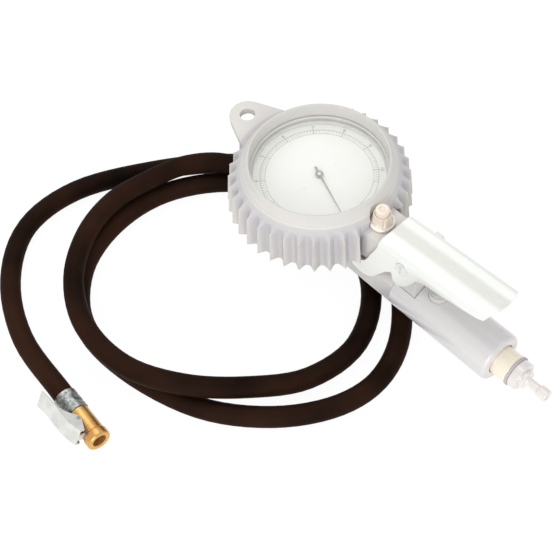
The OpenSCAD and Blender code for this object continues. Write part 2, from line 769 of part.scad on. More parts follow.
module chuck_body() {
    x0 = chuck_ferrule_len;
    color(brass) at_chuck() difference() {
        union() {
            rod_x(chuck_r - 0.6, x0, chuck_x1 - 5);
            rod_x(chuck_r, chuck_x1 - 5.01, chuck_x1 - 0.8);
            translate([chuck_x1 - 0.8, 0, 0]) rotate([0, 90, 0]) cylinder(r1 = chuck_r, r2 = chuck_r - 0.8, h = 0.8);
            rod_x(2.58, 2.5, x0);
        }
        // Groove that holds the seal, wider than the mouth in front of it
        rod_x(seal_r, seal_x0, seal_x0 + seal_len);
        rod_x(mouth_r, seal_x0 + seal_len - 0.01, chuck_x1 + past);
        rod_x(1.4, 1, seal_x0 + 1);
        rotate([clip_roll, 0, 0]) {
            // Window that the clip's jaw enters
            box([27.5, -chuck_r - 1, -jaw_half - gap], [29.5, -mouth_r + 1, jaw_half + gap]);
            // Cross hole for the clip's pin
            translate([clip_x, clip_y, -chuck_r - 1]) cylinder(r = clip_pin_r + 0.01, h = 2 * chuck_r + 2);
        }
    }
}

module chuck_seal() {
    color(dark) at_chuck() difference() {
        rod_x(seal_r - 0.01, seal_x0, seal_x0 + seal_len - gap);
        rod_x(1.6, seal_x0 - past, seal_x0 + seal_len);
    }
}

module chuck_depressor() {
    color(brass) at_chuck() {
        rod_x(0.7, seal_x0 - 3, seal_x0 + seal_len - gap);
        translate([seal_x0 - 3, 0, 0]) rotate([0, 90, 0]) cylinder(r = 1.38, h = 1.2);
    }
}

// Outline of the clip's side walls as seen from above
module clip_flange() {
    polygon([[15, -8.4], [clip_x - 1.5, clip_y + 1.3], [clip_x + 1.5, clip_y + 1.3], [28.6, -7.4],
             [28.7, -9.6], [22, -12], [13.8, -12.8], [9, -12.4]]);
}

// Run of the clip's sheet as seen from above, from its thumb end to its jaw
module clip_web() {
    polygon([[-4, -14.1], [4.5, -12.9], [13.8, -13], [22, -12.2], [28.8, -9.8], [28, -9.2],
             [21.8, -11.4], [13.8, -12.2], [4.5, -12.1], [-4, -13.3]]);
}

module chuck_clip() {
    color(silver) at_clip() difference() {
        union() {
            translate([0, 0, -clip_half]) linear_extrude(2 * clip_half) clip_web();
            for (z = [-clip_half, clip_half - clip_t]) translate([0, 0, z])
                linear_extrude(clip_t) clip_flange();
            box([28, -9.8, -jaw_half], [28.8, -mouth_r - 0.15, jaw_half]);
        }
        translate([clip_x, clip_y, -10]) cylinder(r = clip_pin_r + run, h = 20);
    }
}

module chuck_clip_pin() {
    h = clip_half + 0.4;
    color(silver) at_clip() translate([clip_x, clip_y, -h]) cylinder(r = clip_pin_r, h = 2 * h);
}

// Leaf spring between the connector's side and the clip's web
module chuck_clip_spring() {
    color(zinc) at_clip() translate([0, 0, -2]) linear_extrude(4)
        polygon([[14, -6.3], [17.2, -6.3], [15, -10.9], [14.6, -10.9], [16.4, -6.8], [14, -6.8]]);
}

boot();
gauge_case();
bezel_ring();
window();
window_gasket();
dial_plate();
dial_screws();
needle();
pinion_arbor();
hairspring();
sector_gear();
movement_plates();
movement_pillars();
bourdon_tube();
tube_tip();
gauge_socket();
stem_washer();
valve_body();
grip();
lever();
pivot_screw();
pivot_nut();
valve_bush();
valve_pin();
valve_spring();
valve_plug();
deflate_bush();
deflate_button();
deflate_spring();
inlet_adapter();
inlet_washer();
inlet_plug();
outlet_nipple();
outlet_ferrule();
hose();
chuck_ferrule();
chuck_body();
chuck_seal();
chuck_depressor();
chuck_clip();
chuck_clip_pin();
chuck_clip_spring();
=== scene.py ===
"""Looks of a hand-held tyre inflator: gauge in a ribbed boot, lever handle, hose and clip-on connector."""

import json
import logging
import math
from dataclasses import dataclass, field
from enum import Enum
from typing import Callable, Iterable, Sequence

import bmesh
import bpy
from mathutils import Matrix, Vector

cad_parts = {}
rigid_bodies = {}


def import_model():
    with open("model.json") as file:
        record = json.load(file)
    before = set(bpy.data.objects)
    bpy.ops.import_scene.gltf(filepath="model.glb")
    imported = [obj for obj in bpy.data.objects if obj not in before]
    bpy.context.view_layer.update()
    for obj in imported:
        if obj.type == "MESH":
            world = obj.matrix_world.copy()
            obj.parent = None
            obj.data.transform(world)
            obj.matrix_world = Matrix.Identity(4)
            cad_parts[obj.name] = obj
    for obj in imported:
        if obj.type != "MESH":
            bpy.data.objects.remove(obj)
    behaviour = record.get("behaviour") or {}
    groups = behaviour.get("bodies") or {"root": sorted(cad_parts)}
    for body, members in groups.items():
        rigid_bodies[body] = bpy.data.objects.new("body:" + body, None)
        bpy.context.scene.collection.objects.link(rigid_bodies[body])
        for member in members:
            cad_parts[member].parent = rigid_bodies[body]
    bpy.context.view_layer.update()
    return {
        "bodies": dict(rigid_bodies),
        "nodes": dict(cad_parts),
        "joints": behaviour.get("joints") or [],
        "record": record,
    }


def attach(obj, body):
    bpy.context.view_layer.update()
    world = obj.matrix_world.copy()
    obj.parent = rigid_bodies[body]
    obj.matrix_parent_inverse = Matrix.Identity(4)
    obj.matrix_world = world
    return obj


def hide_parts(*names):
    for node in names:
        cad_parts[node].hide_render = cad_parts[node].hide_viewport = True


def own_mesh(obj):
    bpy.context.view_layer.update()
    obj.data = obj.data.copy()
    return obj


LOG = logging.getLogger("inflator")
MM = 0.001
BODY = "tool"

Pair = tuple[float, float]
Point = tuple[float, float, float]
Colour = tuple[float, float, float]
Piece = bpy.types.Object
Socket = bpy.types.NodeSocket

# Places along the handle, in millimetres. X counts from the middle of the air plug's nose, and
# the reaches count from the gauge's axis.
GAUGE_X = -166.0
BUTTON_REACH = 48.5
PIVOT_REACH = 76.0
PIVOT_Z = 34.5
BUSH_REACH = 92.0

# What all finishes share: where the two colours of their patches end, how many finer layers the
# patches have, the coat's roughness, and the depth of the grain in metres
PATCH_ENDS = (0.35, 0.65)
PATCH_DETAIL = 4.0
COAT_ROUGHNESS = 0.12
BUMP_DEPTH = 0.0002

# The hose's middle line, in millimetres from the gauge's axis. LAY is where it lies on the
# floor, and OVER is where it rides on its own lower loop.
LAY = -20.6
OVER = -8.4
FLOOR = -26.6
HOSE_R = 6.0
CHUCK_TURN = -5.0
CLIP_ROLL = -28.0
ROUTE = [
    (12, 0, -3), (-12, -1, -3.5), (-36, -2, -6), (-57, -4, -8), (-76, -13, OVER),
    (-89, -30, OVER), (-95, -51, OVER), (-98, -76, OVER), (-90, -103, OVER),
    (-70, -128, OVER), (-40, -143, OVER), (-5, -143, OVER), (26, -128, OVER),
    (49, -103, -13.5), (66, -73, -19), (68, -38, LAY), (47, -6, LAY), (8, 12, LAY),
    (-34, 9, LAY), (-68, -13, LAY), (-89, -46, LAY), (-92, -82, LAY), (-79, -116, LAY),
    (-49, -139, LAY), (-9, -141, LAY), (36, -128, LAY), (69, -103, LAY), (89, -72, LAY),
    (92, -42, LAY), (77, -12, LAY), (43, 16, LAY), (-1, 28, LAY), (-45, 22, LAY),
    (-81, -5, LAY), (-109, -42, LAY), (-129, -83, LAY), (-128, -121, LAY),
    (-104, -151, LAY), (-66, -170, LAY), (-19, -176, -19.3),
]


# --- modelling tools


def object_mode() -> None:
    """Leaves edit mode, if it is on."""
    if bpy.context.mode != "OBJECT":
        bpy.ops.object.mode_set(mode="OBJECT")


def clear_selection() -> None:
    """Deselects every object."""
    object_mode()
    bpy.ops.object.select_all(action="DESELECT")
    bpy.context.view_layer.objects.active = None


def pick(obj: Piece) -> None:
    """Makes one object the only selected and active one."""
    clear_selection()
    obj.select_set(True)
    bpy.context.view_layer.objects.active = obj


def fresh(name: str) -> Piece:
    """Names the object that was just made."""
    bpy.context.object.name = name
    return bpy.context.object


def added(name: str, data: bpy.types.ID) -> Piece:
    """Adds an object that holds a camera, a lamp or a curve."""
    obj = bpy.data.objects.new(name, data)
    bpy.context.collection.objects.link(obj)
    return obj


def edit_all() -> None:
    """Enters edit mode with everything selected."""
    bpy.ops.object.mode_set(mode="EDIT")
    bpy.ops.mesh.select_all(action="SELECT")


def turn_out() -> None:
    """Turns the faces of the mesh that is being edited outwards, and leaves edit mode."""
    bpy.ops.mesh.select_all(action="SELECT")
    bpy.ops.mesh.normals_make_consistent(inside=False)
    object_mode()


def spin(degrees: float, axis: str) -> Matrix:
    """A turn about one axis."""
    return Matrix.Rotation(math.radians(degrees), 4, axis)


def shift(x: float, y: float = 0, z: float = 0) -> Matrix:
    """A move in millimetres."""
    return Matrix.Translation((x * MM, y * MM, z * MM))


def settle(obj: Piece) -> Piece:
    """Puts an object's place, turn and scale into its mesh."""
    pick(obj)
    bpy.ops.object.transform_apply(location=True, rotation=True, scale=True)
    return obj


def place(obj: Piece, matrix: Matrix) -> Piece:
    """Moves an object by a matrix and puts the move into its mesh."""
    obj.matrix_world = matrix @ obj.matrix_world
    return settle(obj)


def apply_modifier(obj: Piece, kind: str, **settings: object) -> None:
    """Adds one modifier, sets it and applies it.

    Args:
        obj: the object to change.
        kind: the modifier's type, such as "BEVEL".
        settings: the modifier's values by name.
    """
    pick(obj)
    modifier = obj.modifiers.new(kind.lower(), kind)
    for name, value in settings.items():
        setattr(modifier, name, value)
    bpy.ops.object.modifier_apply(modifier=modifier.name)


def cut(obj: Piece, tools: Iterable[Piece], keep: str = "DIFFERENCE") -> None:
    """Cuts, joins or intersects an object with tool meshes, which are then deleted.

    Args:
        obj: the object to change.
        tools: closed meshes.
        keep: "DIFFERENCE", "UNION" or "INTERSECT".
    """
    for tool in tools:
        apply_modifier(obj, "BOOLEAN", operation=keep, object=tool, solver="EXACT")
        bpy.data.objects.remove(tool, do_unlink=True)


def round_edges(obj: Piece, width: float, angle: float = 35, segments: int = 2) -> None:
    """Rounds an object's sharp edges.

    Args:
        obj: the object to change.
        width: bevel width in millimetres.
        angle: edges sharper than this many degrees are rounded.
        segments: steps of the rounding.
    """
    apply_modifier(
        obj, "BEVEL", width=width * MM, segments=segments, limit_method="ANGLE",
        angle_limit=math.radians(angle), use_clamp_overlap=True, harden_normals=False,
    )


def smooth(obj: Piece, angle: float = 30, weighted: bool = False) -> None:
    """Shades an object smooth, except over sharp edges.

    Args:
        obj: the object to shade.
        angle: edges sharper than this many degrees stay sharp.
        weighted: lets the large faces set the shading, for a piece cut by booleans.
    """
    pick(obj)
    bpy.ops.object.shade_smooth_by_angle(angle=math.radians(angle))
    if weighted:
        apply_modifier(obj, "WEIGHTED_NORMAL", keep_sharp=True, weight=60)


class Shaper:
    """A mesh being shaped in edit mode around the Z axis, in millimetres."""

    def __init__(self, name: str, sides: int, radius: float, z: float = 0.0) -> None:
        """Starts with one ring of vertices.

        Args:
            name: the new object's name.
            sides: vertices round the ring.
            radius: the ring's radius.
            z: the ring's height.
        """
        clear_selection()
        bpy.ops.mesh.primitive_circle_add(vertices=sides, radius=radius * MM, location=(0, 0, z * MM),
                                          fill_type="NOTHING")
        self.obj = settle(fresh(name))
        edit_all()
        self.radius, self.z = radius, z

    def ring(self, radius: float, z: float) -> None:
        """Extrudes the open ring.

        Args:
            radius: its new radius.
            z: its new height.
        """
        bpy.ops.mesh.extrude_edges_move(TRANSFORM_OT_translate={"value": (0, 0, (z - self.z) * MM)})
        share = radius / self.radius
        bpy.ops.transform.resize(value=(share, share, 1), center_override=(0, 0, z * MM))
        self.radius, self.z = radius, z

    def rings(self, outline: Iterable[Pair]) -> None:
        """Extrudes through a run of (radius, height) pairs."""
        for radius, z in outline:
            self.ring(radius, z)

    def cap(self) -> None:
        """Closes the open ring that is selected."""
        bpy.ops.mesh.edge_face_add()

    def choose(self, test: Callable[[Vector], bool]) -> int:
        """Selects the vertices that pass a test on their place in millimetres.

        Args:
            test: takes a vertex's place and says whether it is chosen.

        Returns:
            How many are chosen.
        """
        bpy.ops.mesh.select_all(action="DESELECT")
        mesh = bmesh.from_edit_mesh(self.obj.data)
        mesh.select_mode = {"VERT"}
        count = 0
        for vertex in mesh.verts:
            if test(vertex.co / MM):
                vertex.select = True
                count += 1
        mesh.select_flush_mode()
        bmesh.update_edit_mesh(self.obj.data)
        return count

    def widen(self, share: float) -> None:
        """Scales what is chosen away from the Z axis."""
        bpy.ops.transform.resize(value=(share, share, 1), center_override=(0, 0, 0))

    def close_tube(self) -> None:
        """Joins the last ring to the first, which lies in the same place."""
        bpy.ops.mesh.select_all(action="SELECT")
        bpy.ops.mesh.remove_doubles(threshold=0.001 * MM)

    def done(self) -> Piece:
        """Turns the faces outwards and gives the shaped object."""
        turn_out()
        return self.obj


def flute(shape: Shaper, count: int, columns: int, shares: dict[int, float], low: float, high: float,
          least: float, where: Callable[[Vector], bool] = lambda co: True) -> None:
    """Scales evenly spaced columns of a turned shape, to make ribs, flutes or flats.

    Args:
        shape: the shape being modelled.
        count: ribs or flutes round the axis.
        columns: vertices between one middle and the next.
        shares: scale by steps from a middle.
        low: lowest height that is changed.
        high: highest height that is changed.
        least: smallest radius that is changed.
        where: says which places may be changed at all.
    """
    pitch = math.radians(360 / count)
    for step, share in shares.items():
        def chosen(co: Vector, step: int = step) -> bool:
            """Says whether a vertex is this far from a middle."""
            if not low <= co.z <= high or co.xy.length < least or not where(co):
                return False
            turn = round((math.atan2(co.y, co.x) % pitch) / pitch * columns) % columns
            return min(turn, columns - turn) == step
        if shape.choose(chosen):
            shape.widen(share)


def spun(name: str, outline: Sequence[Pair], sides: int) -> Shaper:
    """Starts a closed turned shape round the Z axis.

    Args:
        name: the object's name.
        outline: (radius, height) pairs. Both ends are capped, unless the outline comes back
            to its start, which makes a tube.
        sides: faces round the axis.

    Returns:
        The shape, which can still be changed.
    """
    closed = outline[0] == outline[-1]
    shape = Shaper(name, sides, *outline[0])
    if not closed:
        shape.cap()
        bpy.ops.mesh.select_mode(type="EDGE")
    shape.rings(outline[1:])
    if closed:
        shape.close_tube()
    else:
        shape.cap()
    return shape


def turned(name: str, outline: Sequence[Pair], sides: int = 96) -> Piece:
    """Makes a turned solid from an outline, as spun does."""
    return spun(name, outline, sides).done()


def block(name: str, low: Point, high: Point) -> Piece:
    """Makes a box.

    Args:
        name: the object's name.
        low: its lowest corner in millimetres.
        high: its highest corner.

    Returns:
        The new object.
    """
    clear_selection()
    middle = (Vector(low) + Vector(high)) / 2 * MM
    bpy.ops.mesh.primitive_cube_add(size=1, location=middle)
    obj = fresh(name)
    obj.scale = (Vector(high) - Vector(low)) * MM
    return settle(obj)


def drum(name: str, radius: float, low: float, high: float, at: Pair = (0, 0), sides: int = 64) -> Piece:
    """Makes an upright round bar, in millimetres.

    Args:
        name: the object's name.
        radius: the bar's radius.
        low: height of its lower end.
        high: height of its upper end.
        at: X and Y of its axis.
        sides: faces round the axis.

    Returns:
        The new object.
    """
    clear_selection()
    bpy.ops.mesh.primitive_cylinder_add(
        vertices=sides, radius=radius * MM, depth=(high - low) * MM,
        location=(at[0] * MM, at[1] * MM, (low + high) / 2 * MM),
    )
    return settle(fresh(name))


def slab(name: str, outline: Sequence[Pair], low: float, high: float) -> Piece:
    """Makes a flat plate from an outline in X and Y, in millimetres.

    Args:
        name: the object's name.
        outline: the corners in order.
        low: height of its lower face.
        high: height of its upper face.

    Returns:
        The new object.
    """
    clear_selection()
    bpy.ops.mesh.primitive_circle_add(vertices=len(outline), radius=1, fill_type="NGON")
    obj = fresh(name)
    for vertex, (x, y) in zip(obj.data.vertices, outline):
        vertex.co = (x * MM, y * MM, low * MM)
    edit_all()
    bpy.ops.mesh.extrude_region_move(TRANSFORM_OT_translate={"value": (0, 0, (high - low) * MM)})
    turn_out()
    return obj


def arc(centre: Pair, radius: float, start: float, end: float, steps: int) -> list[Pair]:
    """Points of an arc, with its angles in degrees."""
    turns = [math.radians(start + (end - start) * i / steps) for i in range(steps + 1)]
    return [(centre[0] + radius * math.cos(a), centre[1] + radius * math.sin(a)) for a in turns]


def join(name: str, pieces: Sequence[Piece]) -> Piece:
    """Joins several objects into one mesh.

    Args:
        name: the new name.
        pieces: the objects.

    Returns:
        The joined object.
    """
    pick(pieces[0])
    for piece in pieces[1:]:
        piece.select_set(True)
    bpy.ops.object.join()
    return fresh(name)


def gauge_place() -> Matrix:
    """The gauge's own axis, upright at its place on the handle."""
    return shift(GAUGE_X)


def handle_place() -> Matrix:
    """The handle's axis: what is turned round Z comes to lie along +X."""
    return spin(90, "Y")


def chuck_place() -> Matrix:
    """The connector's axis, along which Z is turned to point out of its mouth."""
    end = Vector(ROUTE[-1])
    return shift(GAUGE_X + end.x, end.y, end.z) @ spin(CHUCK_TURN, "Z") @ handle_place()


def clip_place() -> Matrix:
    """The connector's frame, rolled to where the clip sits: X points out of the mouth."""
    return chuck_place() @ handle_place().inverted() @ spin(CLIP_ROLL, "X")


# --- finishes


class Grain(Enum):
    """How a piece was made, with how many finer layers its surface noise has."""

    SMOOTH = 0.0
    BRUSHED = 1.5
    TURNED = 2.0
    MOULDED = 3.0
    CAST = 5.0


@dataclass
class Graph:
    """A material's nodes, with short ways to add to them."""

    tree: bpy.types.NodeTree

    def add(self, kind: str, inputs: dict | None = None, **settings: object) -> bpy.types.Node:
        """Adds a shader node.

        Args:
            kind: the node's type, without the beginning that all types share.
            inputs: a value, or the socket to link, by the input's name or number.
            settings: the node's own settings, which come before its inputs.

        Returns:
            The node.
        """
        node = self.tree.nodes.new("ShaderNode" + kind)
        for name, value in settings.items():
            setattr(node, name, value)
        for name, value in (inputs or {}).items():
            if isinstance(value, Socket):
                self.tree.links.new(value, node.inputs[name])
            else:
                node.inputs[name].default_value = value
        return node

    def noise(self, where: Socket, scale: float, detail: float) -> Socket:
        """A noise pattern, with its turns per metre and its finer layers."""
        return self.add("TexNoise", {"Vector": where, "Scale": scale, "Detail": detail}).outputs["Fac"]


@dataclass(frozen=True)
class ReflectionBand:
    """A painted reflection: a soft lengthwise band of another colour, in millimetres across the Y axis."""

    colour: Colour
    middle: float
    half: float
    soft: float
    grain_scale: float = 1500.0
    grain_span: Pair = (0.3, 0.7)
    least: float = 0.55


@dataclass(frozen=True)
class Finish:
    """One surface finish, made as a node material."""

    name: str
    colour: Colour
    shade: Colour
    metallic: float = 0.0
    roughness: float = 0.5
    rough_spread: float = 0.08
    patch: float = 60.0
    grain: Grain = Grain.SMOOTH
    grain_scale: float = 900.0
    bump: float = 0.05
    coat: float = 0.0
    alpha: float = 1.0
    stretch: Point = (1.0, 1.0, 1.0)
    specular: float = 0.5
    stripe: ReflectionBand | None = None
    rings: tuple[tuple[float, Colour], ...] = ()

    def material(self) -> bpy.types.Material:
        """Builds the material once, and gives the same one after that.

        Returns:
            The node material.
        """
        ready = bpy.data.materials.get(self.name)
        if ready:
            return ready
        material = bpy.data.materials.new(self.name)
        material.use_nodes = True
        graph = Graph(material.node_tree)
        shader = graph.tree.nodes["Principled BSDF"].inputs
        for name, value in (("Metallic", self.metallic), ("Coat Weight", self.coat),
                            ("Coat Roughness", COAT_ROUGHNESS), ("Alpha", self.alpha),
                            ("Specular IOR Level", self.specular)):
            shader[name].default_value = value
        where = graph.add("TexCoord").outputs["Object"]
        stretched = graph.add("Mapping", {"Vector": where, "Scale": self.stretch}).outputs["Vector"]
        cloud = graph.noise(stretched, self.patch, PATCH_DETAIL)
        ramp = graph.add("ValToRGB", {"Fac": cloud})
        for stop, end, colour in zip(ramp.color_ramp.elements, PATCH_ENDS, (self.shade, self.colour)):
            stop.position = end
            stop.color = (*colour, 1)
        colour = ramp.outputs["Color"]
        if self.rings:
            colour = self._ringed(graph, where, colour)
        if self.stripe:
            colour = self._striped(graph, where, stretched, colour)
        graph.tree.links.new(colour, shader["Base Color"])
        rough = graph.add("MapRange", {"Value": cloud, "To Min": self.roughness - self.rough_spread,
                                       "To Max": self.roughness + self.rough_spread})
        graph.tree.links.new(rough.outputs["Result"], shader["Roughness"])
        if self.grain is not Grain.SMOOTH:
            fine = graph.noise(stretched, self.grain_scale, self.grain.value)
            relief = graph.add("Bump", {"Strength": self.bump, "Distance": BUMP_DEPTH, "Height": fine})
            graph.tree.links.new(relief.outputs["Normal"], shader["Normal"])
        return material

    def _ringed(self, graph: Graph, where: Socket, colour: Socket) -> Socket:
        """Paints highlight and shade into the colour by how far a place is from the gauge's axis, so edges
        read lighter.

        Args:
            graph: the material's nodes.
            where: the piece's own coordinates.
            colour: the colour without the rings.

        Returns:
            The colour multiplied by the rings' painted highlight and shade tones.
        """
        flat = graph.add("VectorMath", {0: where, 1: (1, 1, 0), 2: (-GAUGE_X * MM, 0, 0)},
                         operation="MULTIPLY_ADD")
        reach = graph.add("VectorMath", {0: flat.outputs["Vector"]}, operation="LENGTH")
        first, last = self.rings[0][0], self.rings[-1][0]
        way = graph.add("MapRange", {"Value": reach.outputs["Value"], "From Min": first * MM,
                                     "From Max": last * MM})
        ramp = graph.add("ValToRGB", {"Fac": way.outputs["Result"]})
        stops = ramp.color_ramp.elements
        while len(stops) < len(self.rings):
            stops.new(0.5)
        for stop, (radius, shade) in zip(stops, self.rings):
            stop.position = (radius - first) / (last - first)
            stop.color = (*shade, 1)
        mix = graph.add("Mix", {"Factor": 1, "A": ramp.outputs["Color"], "B": colour},
                        data_type="RGBA", blend_type="MULTIPLY")
        return mix.outputs["Result"]

    def _striped(self, graph: Graph, where: Socket, stretched: Socket, colour: Socket) -> Socket:
        """Mixes the painted reflection band's colour in, broken up by fine grain.

        Args:
            graph: the material's nodes.
            where: the piece's own coordinates.
            stretched: the stretched coordinates, for the grain.
            colour: the colour without the stripe.

        Returns:
            The colour with the stripe.
        """
        stripe = self.stripe
        split = graph.add("SeparateXYZ", {"Vector": where})
        off = graph.add("Math", {0: split.outputs["Y"], 1: stripe.middle * MM}, operation="SUBTRACT")
        size = graph.add("Math", {0: off.outputs["Value"]}, operation="ABSOLUTE")
        edge = graph.add("MapRange", {"Value": size.outputs["Value"],
                                      "From Min": (stripe.half + stripe.soft) * MM,
                                      "From Max": (stripe.half - stripe.soft) * MM})
        fine = graph.noise(stretched, stripe.grain_scale, PATCH_DETAIL)
        band_breakup = graph.add("MapRange", {"Value": fine, "From Min": stripe.grain_span[0],
                                      "From Max": stripe.grain_span[1], "To Min": stripe.least})
        both = graph.add("Math", {0: edge.outputs["Result"], 1: band_breakup.outputs["Result"]},
                         operation="MULTIPLY")
        mix = graph.add("Mix", {"Factor": both.outputs["Value"], "A": colour, "B": (*stripe.colour, 1)},
                        data_type="RGBA")
        return mix.outputs["Result"]


def tone(*channels: int) -> Colour:
    """A screen colour from 0 to 255 as a linear one."""
    shares = (value / 255 for value in channels)
    return tuple(s / 12.92 if s <= 0.04045 else ((s + 0.055) / 1.055) ** 2.4 for s in shares)


BOOT_RUBBER = Finish("boot rubber", tone(222, 219, 216), tone(216, 214, 212), roughness=0.6,
                     grain=Grain.MOULDED, grain_scale=700, bump=0.12, patch=45, specular=0.3,
                     # rings: painted highlights on the lip's outer edge and the rib crests, and painted
                     # shade, a little bluish, on the rib faces between them
                     rings=((42.0, tone(246, 246, 245)), (43.0, tone(248, 247, 245)),
                            (43.4, tone(255, 255, 252)), (43.9, tone(234, 234, 237)),
                            (46.0, tone(229, 229, 235)),
                            (49.0, tone(238, 237, 240)), (50.4, tone(255, 253, 250)),
                            (53.0, tone(255, 254, 251))))
GRIP_PLASTIC = Finish("grip plastic", tone(224, 221, 218), tone(208, 205, 207), roughness=0.25,
                      rough_spread=0.05, coat=0.5, patch=85, stretch=(0.03, 1, 1))
BODY_COAT = Finish("body coat", tone(213, 210, 206), tone(203, 201, 200), roughness=0.42,
                   grain=Grain.CAST, grain_scale=500, bump=0.1, coat=0.2)
LEVER_PLATE = Finish("lever plate", tone(245, 246, 242), tone(238, 240, 236), metallic=0.3,
                     roughness=0.36, grain=Grain.BRUSHED, grain_scale=260, bump=0.04,
                     stretch=(0.15, 3, 1), patch=70,
                     # stripe: a painted reflection, a darker band down the middle of the lever's arched
                     # web
                     stripe=ReflectionBand(tone(214, 216, 208), 0.5, 4.0, 1.3))
BRIGHT_STEEL = Finish("bright steel", tone(238, 238, 237), tone(226, 226, 225), metallic=0.5,
                      roughness=0.25, grain=Grain.TURNED)
BEZEL_COAT = Finish("bezel coat", tone(222, 220, 217), tone(216, 214, 211), roughness=0.45)
GASKET_PALE = Finish("gasket rubber", tone(226, 224, 221), tone(220, 218, 215), roughness=0.6)
DIAL_WHITE = Finish("dial white", tone(250, 251, 246), tone(247, 248, 243), roughness=0.6, patch=20,
                    specular=0.2)
DIAL_INK = Finish("dial ink", tone(184, 182, 176), tone(174, 172, 166), roughness=0.6, specular=0.1)
NEEDLE_PAINT = Finish("needle paint", tone(176, 172, 166), tone(166, 162, 156), roughness=0.4,
                      specular=0.2)
WINDOW_GLASS = Finish("window glass", tone(252, 253, 253), tone(250, 251, 251), roughness=0.06,
                      rough_spread=0.01, alpha=0.05)
PALE_BRASS = Finish("pale brass", tone(249, 240, 228), tone(235, 220, 205), metallic=0.25,
                    roughness=0.3, grain=Grain.TURNED, grain_scale=700, coat=0.2,
                    stretch=(0.1, 0.1, 1))
ADAPTER_BRASS = Finish("adapter brass", tone(248, 240, 223), tone(243, 232, 212), metallic=0.3,
                       roughness=0.3, grain=Grain.TURNED, grain_scale=700, coat=0.2,
                       stretch=(1, 0.1, 0.1), bump=0.12)
PLUG_NICKEL = Finish("plug nickel", tone(240, 236, 232), tone(226, 220, 216), metallic=0.35,
                     roughness=0.28, grain=Grain.TURNED, grain_scale=800, coat=0.2,
                     stretch=(1, 0.1, 0.1), bump=0.12)
SEAL_PALE = Finish("inlet seal", tone(200, 194, 198), tone(188, 182, 186), roughness=0.6, specular=0.2)
YELLOW_BRASS = Finish("yellow brass", tone(234, 193, 116), tone(208, 154, 90), metallic=0.75,
                      roughness=0.3, grain=Grain.TURNED, patch=150,
                      stretch=(1, 0.15, 0.3))
ZINC = Finish("zinc plate", tone(196, 198, 194), tone(98, 104, 106), metallic=0.6, roughness=0.34,
              rough_spread=0.14, grain=Grain.BRUSHED, grain_scale=600, bump=0.12, patch=420)
CLIP_STEEL = Finish("clip steel", tone(222, 223, 218), tone(206, 207, 202), metallic=0.3,
                    roughness=0.36, grain=Grain.BRUSHED, grain_scale=500, patch=160)
SMALL_STEEL = Finish("small steel", tone(190, 190, 188), tone(165, 165, 162), metallic=0.8, roughness=0.3,
                     grain=Grain.TURNED)
BLACK_RUBBER = Finish("black rubber", tone(38, 36, 35), tone(30, 28, 27), roughness=0.6,
                      grain=Grain.MOULDED, specular=0.2)
SEAL_BROWN = Finish("mouth seal", tone(132, 72, 44), tone(104, 54, 32), roughness=0.6, specular=0.2)
HOSE_RUBBER = Finish("hose rubber", tone(50, 30, 20), tone(16, 8, 5), roughness=0.6,
                     rough_spread=0.1, grain=Grain.MOULDED, grain_scale=1100, bump=0.25, patch=14,
                     specular=0.04)


def dress(obj: Piece, finish: Finish) -> None:
    """Gives a piece one finish all over."""
    obj.data.materials.clear()
    obj.data.materials.append(finish.material())


def dress_nodes(frame: dict, finish: Finish, *nodes: str) -> None:
    """Gives carried-over nodes one finish, without touching their meshes.

    Args:
        frame: the loaded frame.
        finish: the finish.
        nodes: the nodes' names.
    """
    for node in nodes:
        for slot in frame["nodes"][node].material_slots:
            slot.material = finish.material()
        LOG.info("dressed %s", node)


def stand_for(obj: Piece, node: str, body: str = BODY) -> Piece:
    """Lets a finished piece stand in for a node.

    Args:
        obj: the piece.
        node: the node it replaces.
        body: the body it moves with.

    Returns:
        The piece.
    """
    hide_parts(node)
    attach(obj, body)
    return obj


# --- hose


@dataclass
class Hose:
    """The air hose, laid in two loose loops under the tool."""

    radius: float = HOSE_R
    sides: int = 28
    steps: int = 6
    line: list[Vector] = field(default_factory=list)

    def middle_line(self) -> list[Vector]:
        """The route's points with smooth points between them.

        Returns:
            Points in metres, in the row frame.
        """
        points = [Vector(p) for p in ROUTE]
        before, after = 2 * points[0] - points[1], 2 * points[-1] - points[-2]
        run = [before, *points, after]
        line = []
        for a, b, c, d in zip(run, run[1:], run[2:], run[3:]):
            for step in range(self.steps):
                t = step / self.steps
                line.append(0.5 * (2 * b + (c - a) * t + (2 * a - 5 * b + 4 * c - d) * t * t
                                   + (3 * b - a - 3 * c + d) * t ** 3))
        line.append(points[-1])
        shift = Vector((GAUGE_X, 0, 0))
        return [(p + shift) * MM for p in line]

    def build(self) -> Piece:
        """Returns:
            The hose's mesh.
        """
        self.line = self.middle_line()
        curve = bpy.data.curves.new("air hose", "CURVE")
        curve.dimensions = "3D"
        curve.bevel_depth = self.radius * MM
        curve.bevel_resolution = self.sides // 4 - 2
        curve.use_fill_caps = True
        spline = curve.splines.new("POLY")
        spline.points.add(len(self.line) - 1)
        for knot, point in zip(spline.points, self.line):
            knot.co = (*point, 1)
        pick(added("air_hose", curve))
        bpy.ops.object.convert(target="MESH")
        obj = bpy.context.object
        smooth(obj, 50)
        dress(obj, HOSE_RUBBER)
        return stand_for(obj, "hose")


# --- stage


